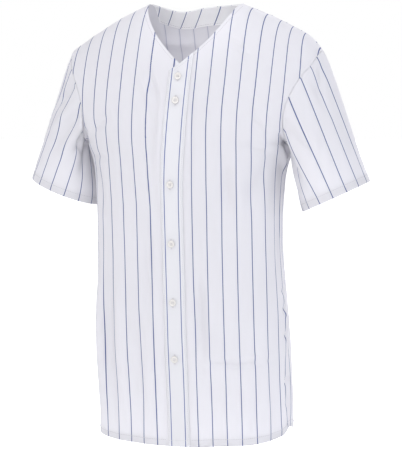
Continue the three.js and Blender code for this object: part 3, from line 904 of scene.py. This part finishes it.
across, drop = placket_layout()
inward = np.minimum(across - PLACKET_FREE_EDGE, PLACKET_SEAM_EDGE - across)
crown = PLACKET_LAYER * (0.25 + 0.75 * (1 - np.exp(-((inward / PLACKET_ROUND) ** 2))))
outer = body_cloth(FRONT, across, drop, PLACKET_LIFT + crown)
inner = body_cloth(FRONT, across, drop, PLACKET_LIFT)
pattern = np.stack([(across - PLACKET_STRIPE) / STRIPE_PITCH, drop / STRIPE_PITCH], axis=-1)
placket = shell("placket_cloth", outer, inner, pattern, PLACKET_LOOKS)
dress(placket, "placket", cloth_size(body_point(FRONT, across, drop)))

# Facing inside the back neck

FACING_SHARE, FACING_DROP = 0.37, 31.0
FACING_GAP = 0.5
FACING_SLANT, FACING_STRIPE = 0.6, 8.8
FACING_CURVE_FROM, FACING_CURVE = 10.0, 0.78


def facing_layout():
    share = np.linspace(-FACING_SHARE, FACING_SHARE, 60)
    drop = FACING_DROP * np.linspace(0, 1, 24)[:, None] ** SHOULDER_CROWDING
    return share * armhole_across(BACK, drop), below_back_neck(share, drop)


across, drop = facing_layout()
outer = body_cloth(BACK, across, drop, -CLOTH - FACING_GAP)
inner = body_cloth(BACK, across, drop, -2 * CLOTH - FACING_GAP)
slanted = across + FACING_SLANT * drop
past = np.maximum(slanted - FACING_CURVE_FROM, 0)
slanted = slanted - (1 - FACING_CURVE) * past
pattern = np.stack([(slanted - FACING_STRIPE) / STRIPE_PITCH, drop / STRIPE_PITCH], axis=-1)
facing = shell("back_neck_facing_cloth", outer, inner, pattern, FACING_LOOKS)
dress(facing, "back_neck_facing", cloth_size(body_point(BACK, across, drop)))

# Sleeves

SLEEVE_COLUMNS = 61
SLEEVE_STEPS = 64


def hermite(start, leave, end, arrive, s):
    s = s[:, None, None]
    rise = s * s * (3 - 2 * s)
    return start * (1 - rise) + end * rise + leave * s * (1 - s) ** 2 + arrive * s * s * (s - 1)


def sleeve_grid(sleeve, share):
    """Points of a sleeve from the armhole to the cuff, and its width coordinate around the ring."""
    hand = sleeve["side"]
    tilt, lift = math.radians(sleeve["tilt"]), math.radians(sleeve["lift"])
    axis = np.array([hand * math.sin(tilt), 0, -math.cos(tilt)])
    outward = np.array([hand * math.cos(tilt), 0, math.sin(tilt)])
    forward = np.array([0, -math.cos(lift), math.sin(lift)])
    middle = np.array([hand * sleeve["out"], -sleeve["forward"], NECK_POINT_Z - sleeve["drop"]])
    dense = np.linspace(0, ARMPIT_DROP, 4000)
    width = np.linspace(0, SLEEVE_HALF_WIDTH, SLEEVE_COLUMNS)
    drop = np.interp(width, sleeve_across(dense), dense)
    drop[-1] = ARMPIT_DROP
    rings = [body_cloth(s, hand * armhole_across(s, drop), drop, rolled=False) for s in (FRONT, BACK)]
    # Around from the underarm over the back, the shoulder and the front
    ring = np.concatenate([rings[1][::-1], rings[0][1:-1]])
    widths = np.concatenate([-width[::-1], width[1:-1]])
    ends = np.array([0.0, ARMPIT_DROP])
    top, bottom = body_cloth(FRONT, hand * armhole_across(FRONT, ends), ends, rolled=False)
    ring[SLEEVE_COLUMNS - 1], ring[0] = top, bottom
    plane = unit(np.cross(top - bottom, [0, -hand, 0]))
    slope = unit(top - np.array([hand * NECK_POINT_X, 0, NECK_POINT_Z]))
    under = unit(np.array([hand * UNDERARM_LEAN, 0, -1]))
    turn = widths / SLEEVE_HALF_WIDTH * math.pi
    cuff = middle + sleeve["across"] * np.cos(turn)[:, None] * outward
    cuff = cuff + sleeve["deep"] * np.sin(turn)[:, None] * forward
    height = ((ring[:, 2] - bottom[2]) / (top[2] - bottom[2]))[:, None]
    leave = slope * (1 - HEAD_TURN) + axis * HEAD_TURN
    leave = unit(leave * height + under * (1 - height))
    start = ring + plane * SLEEVE_GAP
    reach = np.linalg.norm(cuff - start, axis=-1)[:, None]
    return hermite(start, leave * reach * HEAD_PULL, cuff, axis * reach * CUFF_PULL, share), widths


def ring_normals(grid, hand):
    """Outward normals of a ringed grid."""
    along = np.roll(grid, -1, axis=1) - np.roll(grid, 1, axis=1)
    down = np.gradient(grid, axis=0)
    normal = unit(np.cross(along, down))
    middle = grid.mean(axis=1, keepdims=True)
    turned = np.sign(((grid - middle) * normal).sum())
    return normal * turned


def sleeve_shell(name, sleeve):
    share = np.linspace(0, 1, 241)
    dense, widths = sleeve_grid(sleeve, share)
    normals = ring_normals(dense, sleeve["side"])
    steps = np.linalg.norm(np.diff(dense, axis=0), axis=-1)
    run = np.concatenate([np.zeros((1, dense.shape[1])), np.cumsum(steps, axis=0)])
    total = run[-1]
    creases = SLEEVE_CREASES["left" if sleeve["side"] > 0 else "right"]

    def place(rise, lift):
        """Points of the sleeve's cloth at a rise above the cuff's edge, moved out by lift."""
        points, out = np.empty(rise.shape + (3,)), np.empty(rise.shape + (3,))
        for j in range(rise.shape[1]):
            at = total[j] - rise[:, j]
            over = np.maximum(at - total[j], 0)
            for axis in range(3):
                points[:, j, axis] = np.interp(at, run[:, j], dense[:, j, axis])
                out[:, j, axis] = np.interp(at, run[:, j], normals[:, j, axis])
            points[:, j] += over[:, None] * (dense[-1, j] - dense[-2, j]) / steps[-1, j]
        around = np.broadcast_to(widths, rise.shape)
        from_seam, from_underarm = total - rise, SLEEVE_HALF_WIDTH - np.abs(around)
        fade = smooth(from_seam / CREASE_FADE) * smooth(from_underarm / UNDERARM_FADE)
        height = seam_roll(from_seam) + seam_roll(from_underarm)
        height = height + (CREASE_DEPTH * fold_height(creases, around, rise) + ripple(around, rise)) * fade
        stitched = np.exp(-(((rise - CUFF_STITCH) / CUFF_GATHER) ** 2))
        height = height + gather(around) * stitched * smooth(from_underarm / UNDERARM_FADE)
        return points + unit(out) * (height + lift)[..., None]

    rise = TURN_RADIUS + (total - TURN_RADIUS) * (1 - crowded(SLEEVE_STEPS, 0.006)[:, None])
    turned, turned_lift, normal_rise, normal_lift = turned_rows(CUFF_TURN, rise.shape[1])
    centre = np.concatenate([rise, turned])
    lift = np.concatenate([np.full(rise.shape, -CLOTH / 2), turned_lift])
    half_rise = np.concatenate([np.zeros(rise.shape), normal_rise]) * CLOTH / 2
    half_lift = np.concatenate([np.ones(rise.shape), normal_lift]) * CLOTH / 2
    outer = place(centre + half_rise, lift + half_lift)
    inner = place(centre - half_rise, lift - half_lift)
    length = np.concatenate([-rise, turned])
    w = np.append(widths, SLEEVE_HALF_WIDTH)
    pattern_w = np.broadcast_to((w - sleeve["stripe"]) / STRIPE_PITCH, (len(length), len(w))).copy()
    pattern_l = np.concatenate([length, length[:, :1]], axis=1) / STRIPE_PITCH
    pattern = np.stack([pattern_w, pattern_l], axis=-1)
    piece = shell(name + "_cloth", outer, inner, pattern, CLOTH_LOOKS, ringed=True)
    closed = np.concatenate([dense, dense[:, :1]], axis=1)
    area, width, length = cloth_size(closed)
    width = max(width, 2 * SLEEVE_HALF_WIDTH * MM)
    dress(piece, name, (area, width, length), CUFF_TURN)
    # Line of the cuff's stitches and the normals along it
    level = np.full((1, len(widths)), CUFF_STITCH)
    path, above = place(level, 0.0)[0], place(level, 1.0)[0]
    return path, above - path


CUFF_LINES = {}
for hand, sleeve in SLEEVES.items():
    CUFF_LINES[hand] = sleeve_shell("sleeve_" + hand, sleeve)

# Buttons

BUTTON_GAP = 0.3
BUTTON_SIDES = 64
BUTTON_PROFILE = table(
    "radius height",
    (0.01, 0.05),
    (4.6, 0.05),
    (5.7, 0.35),
    (6.2, 1.0),
    (6.2, 1.5),
    (6.05, 2.0),
    (5.7, 2.4),
    (5.2, 2.55),
    (4.7, 2.4),
    (4.3, 2.0),
    (3.8, 1.75),
    (0.01, 1.7),
)

BUTTON_HOLE_RADIUS, BUTTON_HOLE_OUT = 0.75, 1.25
BUTTON_FACE = 1.75
TOP_FACE = PLACKET_LIFT + PLACKET_LAYER

pearl = button_material()
thread = thread_material()


def lathe(profile, sides):
    """Points and faces of a closed ring of the profile turned about its axis."""
    angle = np.arange(sides) / sides * 2 * math.pi
    r, h = profile["radius"][:, None], profile["height"][:, None]
    points = np.stack([r * np.cos(angle), r * np.sin(angle), h + 0 * angle], axis=-1)
    rows = len(profile["radius"])
    i, j = np.meshgrid(np.arange(rows), np.arange(sides), indexing="ij")
    i, j = i.ravel(), j.ravel()
    k, below = (j + 1) % sides, (i + 1) % rows
    faces = np.stack([i * sides + j, i * sides + k, below * sides + k, below * sides + j], axis=1)
    return points.reshape(-1, 3), faces


def button_mesh():
    """Points and faces of a button with four holes bored through it."""
    disc = solid("button_blank", *lathe(BUTTON_PROFILE, BUTTON_SIDES), (pearl,))
    bore = table("radius height", (0.01, -1), (BUTTON_HOLE_RADIUS, -1), (BUTTON_HOLE_RADIUS, 4), (0.01, 4))
    points, faces = lathe(bore, 20)
    places = (-BUTTON_HOLE_OUT, BUTTON_HOLE_OUT)
    corners = [np.array((x, y, 0)) for x in places for y in places]
    drill = solid(
        "button_drill",
        np.concatenate([points + corner for corner in corners]),
        np.concatenate([faces + n * len(points) for n in range(4)]),
        (pearl,),
    )
    cut = disc.modifiers.new("holes", "BOOLEAN")
    cut.operation, cut.object, cut.solver = "DIFFERENCE", drill, "EXACT"
    bored = bpy.data.meshes.new_from_object(disc.evaluated_get(bpy.context.evaluated_depsgraph_get()))
    bpy.data.objects.remove(drill)
    bpy.data.objects.remove(disc)
    return bored


def button_frame(drop):
    """Middle and three axes of a button: to the side, down the placket and out."""
    at = lambda a, d: body_cloth(FRONT, np.array([a]), np.array([float(d)]), TOP_FACE)[0]
    origin = at(0.0, drop)
    side = at(6.0, drop) - at(-6.0, drop)
    down = at(0.0, drop + 6) - at(0.0, drop - 6)
    out = unit(np.cross(down, side))
    out = out if out[1] < 0 else -out
    side = unit(side)
    down = np.cross(out, side)
    return origin, side, down, out


bored = button_mesh()
for number, drop in enumerate(BUTTON_DROPS, 1):
    origin, side, down, out = button_frame(drop)
    mesh = bored.copy()
    mesh.name = f"button_{number}_pearl"
    local = np.empty(len(mesh.vertices) * 3, np.float32)
    mesh.vertices.foreach_get("co", local)
    placed = (origin + out * BUTTON_GAP) * MM + local.reshape(-1, 3) @ np.stack([side, down, out])
    mesh.vertices.foreach_set("co", placed.reshape(-1).astype(np.float32))
    mesh.shade_smooth()
    mesh.set_sharp_from_angle(angle=math.radians(40))
    piece = bpy.data.objects.new(mesh.name, mesh)
    bpy.context.scene.collection.objects.link(piece)
    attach(piece, "root")
    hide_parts(f"button_{number}")

# Stitching

STITCH, STITCH_PITCH, STITCH_RADIUS = 2.3, 3.3, 0.3
HOLE_STITCH, HOLE_PITCH, HOLE_LENGTH, HOLE_SLIT = 1.2, 0.5, 15.5, 0.35
THREAD_LIFT = 0.12
HOLE_THREAD = 0.25
PLACKET_STITCH_IN = 2.6
NECK_STITCH_IN = 6.0
HEM_END = 0.992
STITCH_START = 0.6
FACING_STITCH_IN, FACING_STITCH_SHARE = 3.0, 0.98


def stitch_bars(starts, ends, normals, radius):
    """Points and faces of short threads from starts to ends, which dip into the cloth at both ends."""
    normals = np.broadcast_to(normals, starts.shape)
    along = ends - starts
    side = unit(np.cross(along, normals))
    rows = []
    for s, r, lift in ((0, 0.4, -0.6), (0.25, 1, 0.5), (0.75, 1, 0.5), (1, 0.4, -0.6)):
        middle = starts + s * along + normals * (THREAD_LIFT + lift * radius)
        for a, b in ((1, 1), (-1, 1), (-1, -1), (1, -1)):
            rows.append(middle + side * a * r * radius + normals * b * r * radius * 0.7)
    points = np.stack(rows, axis=1)
    sides = [(j, (j + 1) % 4) for j in range(4)]
    quads = [[4 * i + a, 4 * i + b, 4 * i + 4 + b, 4 * i + 4 + a] for i in range(3) for a, b in sides]
    quads += [[3, 2, 1, 0], [12, 13, 14, 15]]
    faces = np.array(quads)[None] + (np.arange(len(points)) * 16)[:, None, None]
    return points.reshape(-1, 3), faces.reshape(-1, 4)


def running_stitch(path, normals):
    """Stitches along a line of points on the cloth."""
    run = np.concatenate([[0], np.cumsum(np.linalg.norm(np.diff(path, axis=0), axis=1))])
    starts = np.arange(STITCH_START, run[-1] - STITCH, STITCH_PITCH)
    pick = lambda at, rows: np.stack([np.interp(at, run, rows[:, k]) for k in range(3)], axis=1)
    above = unit(pick(starts + STITCH / 2, normals))
    return stitch_bars(pick(starts, path), pick(starts + STITCH, path), above, STITCH_RADIUS)


def body_stitches(side, across, drop, lift=0.0):
    """Stitches along a line on the body's cloth."""
    return running_stitch(body_cloth(side, across, drop, lift), body_normal(side, across, drop))


def sewn(name, lines):
    """One object of all stitches of a piece of cloth."""
    points, faces, count = [], [], 0
    for p, f in lines:
        points.append(p)
        faces.append(f + count)
        count += len(p)
    piece = solid(name, np.concatenate(points), np.concatenate(faces), (thread,))
    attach(piece, "root")


def hem_stitches(side, start, end):
    share = np.linspace(start, end, 400)
    drop = hem_drop(share) - HEM_STITCH
    return body_stitches(side, share * half_girth(side, drop), drop)


def front_neck_stitches(hand):
    drop = np.linspace(3, 98, 120)
    return body_stitches(FRONT, hand * (lookup(NECKLINE, "drop", "across", drop) + NECK_STITCH_IN), drop)


def buttonhole(origin, side, down, out):
    """Stitches down both edges of a buttonhole, and the bar tacks at its ends."""
    step = np.arange(-HOLE_LENGTH / 2, HOLE_LENGTH / 2, HOLE_PITCH)[:, None]
    for hand in (-1, 1):
        near = origin + down * step + side * hand * HOLE_SLIT
        yield stitch_bars(near, near + side * hand * HOLE_STITCH, out, HOLE_THREAD)
    reach = side * (HOLE_SLIT + HOLE_STITCH)
    for end in (-1, 1):
        rows = origin + down * (end * HOLE_LENGTH / 2 + np.arange(-0.8, 0.9, 0.4)[:, None])
        yield stitch_bars(rows - reach, rows + reach, out, HOLE_THREAD)


def button_threads(origin, side, down, out):
    """Threads over the face of a button, through its two pairs of holes."""
    face = origin + out * (BUTTON_GAP + BUTTON_FACE + 0.05)
    reach = down * (BUTTON_HOLE_OUT + 0.5)
    for hand in (-1, 1):
        middle = (face + side * hand * BUTTON_HOLE_OUT)[None]
        yield stitch_bars(middle - reach, middle + reach, out, STITCH_RADIUS)


for hand, name, edge in ((-1, "front_right", RIGHT_FRONT_EDGE), (1, "front_left", LEFT_FRONT_EDGE)):
    near = (edge + 4) / half_girth(FRONT, HEM_DROP)
    sewn(name + "_stitches", [hem_stitches(FRONT, hand * near, hand * HEM_END), front_neck_stitches(hand)])

across = np.linspace(-76, 76, 160)
neck = body_stitches(BACK, across, back_neck_drop(across) + NECK_STITCH_IN)
sewn("back_stitches", [hem_stitches(BACK, -HEM_END, HEM_END), neck])

lines = []
for at in (PLACKET_FREE_EDGE + PLACKET_STITCH_IN, PLACKET_SEAM_EDGE - PLACKET_STITCH_IN):
    drop = np.linspace(neckline_drop(at) + 3, hem_at(at) - 3, 400)
    lines.append(body_stitches(FRONT, np.full(400, at), drop, TOP_FACE))
across = np.linspace(PLACKET_FREE_EDGE + 1, PLACKET_SEAM_EDGE - 1, 40)
lines.append(body_stitches(FRONT, across, hem_at(across) - HEM_STITCH, TOP_FACE))
lines.append(body_stitches(FRONT, across, neckline_drop(across) + NECK_STITCH_IN, TOP_FACE))
for drop in BUTTON_DROPS:
    lines += [*buttonhole(*button_frame(drop)), *button_threads(*button_frame(drop))]
sewn("placket_stitches", lines)

share = np.linspace(-FACING_SHARE, FACING_SHARE, 160) * FACING_STITCH_SHARE
level = FACING_DROP - FACING_STITCH_IN
across, drop = share * armhole_across(BACK, level), below_back_neck(share, level)
path = body_cloth(BACK, across, drop, -2 * CLOTH - FACING_GAP)
sewn("facing_stitches", [running_stitch(path, -body_normal(BACK, across, drop))])

for hand, (path, out) in CUFF_LINES.items():
    sewn("sleeve_" + hand + "_stitches", [running_stitch(path, out)])

# Stage, light and camera

CAMERA_AZIMUTH = math.radians(20)
CAMERA_DISTANCE, CAMERA_Z = 3.0, -0.022
AIM_SIDE, AIM_Z = 0.0075, -0.343
FOCAL_PIXELS, FRAME_HEIGHT, SENSOR = 1740, 450, 36.0
FLOOR_Z, FLOOR_RADIUS, FLOOR_SIDES = -1.0, 14.0, 96
WALL_LIGHT, FLOOR_LIGHT = 0.78, 0.6
SKY_BLUE = (0.80, 0.87, 1.0)
AREA_LIGHTS = [
    dict(name="key", place=(-1.4, -2.2, 1.8), aim=(0, 0, -0.1), size=1.6, power=13),
    dict(name="front", place=(0.4, -2.6, 0.7), aim=(0, 0, 0), size=1.0, power=12),
    dict(name="fill", place=(2.8, -0.9, 0.2), aim=(0, 0, -0.35), size=1.8, power=15, colour=SKY_BLUE),
    dict(name="low", place=(-2.4, -1.8, 0.1), aim=(-0.1, 0, -0.1), size=1.6, power=2),
    dict(name="top", place=(0.1, -0.7, 1.5), aim=(0, 0, -0.05), size=1.0, power=13),
    dict(name="back", place=(0.2, 2.4, 0.7), aim=(0, 0, -0.2), size=2.4, power=60),
]
NECK_LIGHT = dict(place=(0.35, -2.0, 0.35), aim=(0.0, 0.07, -0.005), degrees=4.6, power=42)


def floor():
    material, *_, shader = new_material("floor_paper")
    set_shader(shader, Base_Color=(0.9, 0.9, 0.9, 1), Roughness=0.9)
    set_shader(shader, Emission_Color=(1, 1, 1, 1), Emission_Strength=FLOOR_LIGHT)
    number = np.arange(FLOOR_SIDES)
    angle = number / FLOOR_SIDES * 2 * math.pi
    rim = np.stack([np.cos(angle), np.sin(angle), 0 * angle], axis=1) * FLOOR_RADIUS / MM
    points = np.concatenate([[[0, 0, 0]], rim])
    points[:, 2] = FLOOR_Z / MM
    faces = np.stack([0 * number, number + 1, (number + 1) % FLOOR_SIDES + 1], axis=1)
    solid("floor", points, faces, (material,))


def put(name, data, place, aim):
    """An object of the scene at a place, turned to an aim."""
    thing = bpy.data.objects.new(name, data)
    thing.location = place
    thing.rotation_euler = (Vector(aim) - Vector(place)).to_track_quat("-Z", "Y").to_euler()
    bpy.context.scene.collection.objects.link(thing)
    return thing


def area_light(name, place, aim, size, power, colour=(1, 1, 1)):
    data = bpy.data.lights.new(name, "AREA")
    data.shape = "DISK"
    data.size = size
    data.energy = power
    data.color = colour
    put(name, data, place, aim)


def neck_light(place, aim, degrees, power):
    """A narrow beam through the neck opening, which lights the facing."""
    data = bpy.data.lights.new("neck", "SPOT")
    data.energy = power
    data.spot_size = math.radians(degrees)
    data.spot_blend = 1.0
    data.shadow_soft_size = 0.06
    put("neck", data, place, aim)


def studio():
    """Walls that are seen white and light the jersey less than they look."""
    world = bpy.data.worlds.new("studio")
    world.use_nodes = True
    nodes, links = world.node_tree.nodes, world.node_tree.links
    ray = node_of(nodes, "LightPath")
    seen = math_node(nodes, links, "MULTIPLY_ADD", ray.outputs["Is Camera Ray"], 1 - WALL_LIGHT, WALL_LIGHT)
    nodes["Background"].inputs["Color"].default_value = (1, 1, 1, 1)
    links.new(seen, nodes["Background"].inputs["Strength"])
    bpy.context.scene.world = world
    bpy.context.scene.view_settings.view_transform = "Standard"


floor()
for light in AREA_LIGHTS:
    area_light(**light)
neck_light(**NECK_LIGHT)
studio()

camera_data = bpy.data.cameras.new("camera")
camera_data.sensor_width = SENSOR
camera_data.lens = FOCAL_PIXELS / FRAME_HEIGHT * SENSOR
sine, cosine = math.sin(CAMERA_AZIMUTH), math.cos(CAMERA_AZIMUTH)
stand = (sine * CAMERA_DISTANCE, -cosine * CAMERA_DISTANCE, CAMERA_Z)
bpy.context.scene.camera = put("camera", camera_data, stand, (AIM_SIDE * cosine, AIM_SIDE * sine, AIM_Z))
